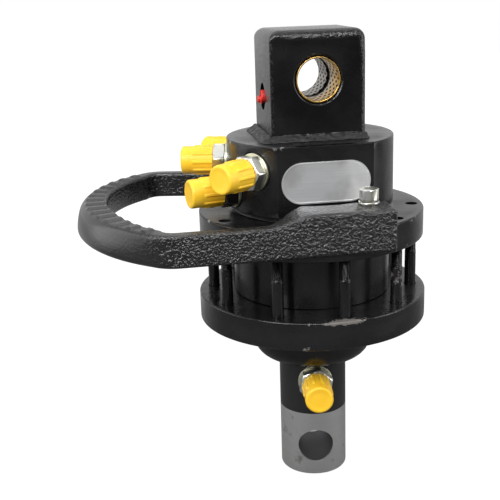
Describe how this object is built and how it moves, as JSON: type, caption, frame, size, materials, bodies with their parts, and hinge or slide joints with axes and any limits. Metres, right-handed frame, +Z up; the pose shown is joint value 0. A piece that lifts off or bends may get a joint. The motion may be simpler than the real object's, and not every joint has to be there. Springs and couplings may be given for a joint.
{
  "type": "hydraulic rotator",
  "caption": "Hydraulic rotator with a pin lug on top, bolted motor flanges, capped hose fittings, a cast hose guard and a cross-drilled shaft below.",
  "frame": {"origin": "centre of the rotor shaft's lower end face", "axes": "+Z up along the rotor shaft, towards the lug; -Y out of the face that carries the data plate; -X towards the hose guard's grip; the lug's pin bore runs along Y"},
  "size_m": [0.2474, 0.1995, 0.327],
  "materials": {
    "black_paint": "semi-gloss black paint over machined and welded steel",
    "cast_paint": "black paint over a rough casting",
    "bare_steel": "ground steel, bare below the paint line",
    "tool_steel": "hardened and ground",
    "zinc": "bright zinc plate",
    "yellow_plastic": "moulded yellow plastic, satin",
    "red_plastic": "moulded red plastic, satin",
    "bronze": "rolled bronze with lubricant pockets",
    "rubber": "black seal rubber",
    "plate_metal": "brushed blank plate"
  },
  "bodies": {
    "housing": {"lug_block": "black_paint", "lug_weld": "black_paint", "front_lug_bush": "bronze", "rear_lug_bush": "bronze", "grease_nipple": "zinc", "upper_housing": "black_paint", "data_plate": "plate_metal", "cam_ring": "black_paint", "lower_housing": "black_paint", "shaft_seal": "rubber", "lower_bush": "bronze", "upper_bush": "bronze", "thrust_race": "tool_steel", "flange_bolt_01": "black_paint", "flange_bolt_02": "black_paint", "flange_bolt_03": "black_paint", "flange_bolt_04": "black_paint", "flange_bolt_05": "black_paint", "flange_bolt_06": "black_paint", "flange_bolt_07": "black_paint", "flange_bolt_08": "black_paint", "flange_bolt_09": "black_paint", "flange_bolt_10": "black_paint", "head_adapter_1": "zinc", "head_adapter_2": "zinc", "head_adapter_3": "zinc", "head_adapter_4": "zinc", "head_washer_1": "zinc", "head_washer_2": "zinc", "head_washer_3": "zinc", "head_washer_4": "zinc", "hose_guard": "cast_paint", "front_guard_screw": "zinc", "rear_guard_screw": "zinc", "front_lock_washer": "zinc", "rear_lock_washer": "zinc"},
    "rotor": {"rotor_shaft": "bare_steel", "vane_1": "tool_steel", "vane_2": "tool_steel", "vane_3": "tool_steel", "vane_4": "tool_steel", "vane_5": "tool_steel", "vane_6": "tool_steel", "distributor_seal_1": "rubber", "distributor_seal_2": "rubber", "distributor_seal_3": "rubber", "shaft_adapter_1": "zinc", "shaft_adapter_2": "zinc", "shaft_washer_1": "zinc", "shaft_washer_2": "zinc"},
    "bearing_cage": {"ball_cage": "tool_steel"},
    "head_cap_a": {"head_cap_1": "yellow_plastic"},
    "head_cap_b": {"head_cap_2": "yellow_plastic"},
    "head_cap_c": {"head_cap_3": "yellow_plastic"},
    "head_cap_d": {"head_cap_4": "yellow_plastic"},
    "shaft_cap_a": {"shaft_cap_1": "yellow_plastic"},
    "shaft_cap_b": {"shaft_cap_2": "yellow_plastic"},
    "grease_cap": {"nipple_cap": "red_plastic"}
  },
  "joints": [
    {"name": "rotor_turn", "type": "hinge", "parent": "housing", "child": "rotor", "pos_m": [0, 0, 0.12], "axis": [0, 0, 1], "continuous": true},
    {"name": "cage_turn", "type": "hinge", "parent": "housing", "child": "bearing_cage", "pos_m": [0, 0, 0.1295], "axis": [0, 0, 1], "continuous": true},
    {"name": "head_cap_a_pull", "type": "slide", "parent": "housing", "child": "head_cap_a", "axis": [-0.788, -0.6157, 0], "range_m": [0, 0.024]},
    {"name": "head_cap_b_pull", "type": "slide", "parent": "housing", "child": "head_cap_b", "axis": [-0.9744, -0.225, 0], "range_m": [0, 0.024]},
    {"name": "head_cap_c_pull", "type": "slide", "parent": "housing", "child": "head_cap_c", "axis": [-0.9677, 0.2521, 0], "range_m": [0, 0.024]},
    {"name": "head_cap_d_pull", "type": "slide", "parent": "housing", "child": "head_cap_d", "axis": [-0.7193, 0.6947, 0], "range_m": [0, 0.024]},
    {"name": "shaft_cap_a_pull", "type": "slide", "parent": "rotor", "child": "shaft_cap_a", "axis": [-0.1392, -0.9903, 0], "range_m": [0, 0.024]},
    {"name": "shaft_cap_b_pull", "type": "slide", "parent": "rotor", "child": "shaft_cap_b", "axis": [0.1392, 0.9903, 0], "range_m": [0, 0.024]},
    {"name": "grease_cap_pull", "type": "slide", "parent": "housing", "child": "grease_cap", "axis": [-1, 0, 0], "range_m": [0, 0.012]}
  ],
  "couplings": [
    {"joint": "cage_turn", "follows": "rotor_turn", "ratio": 0.5}
  ]
}
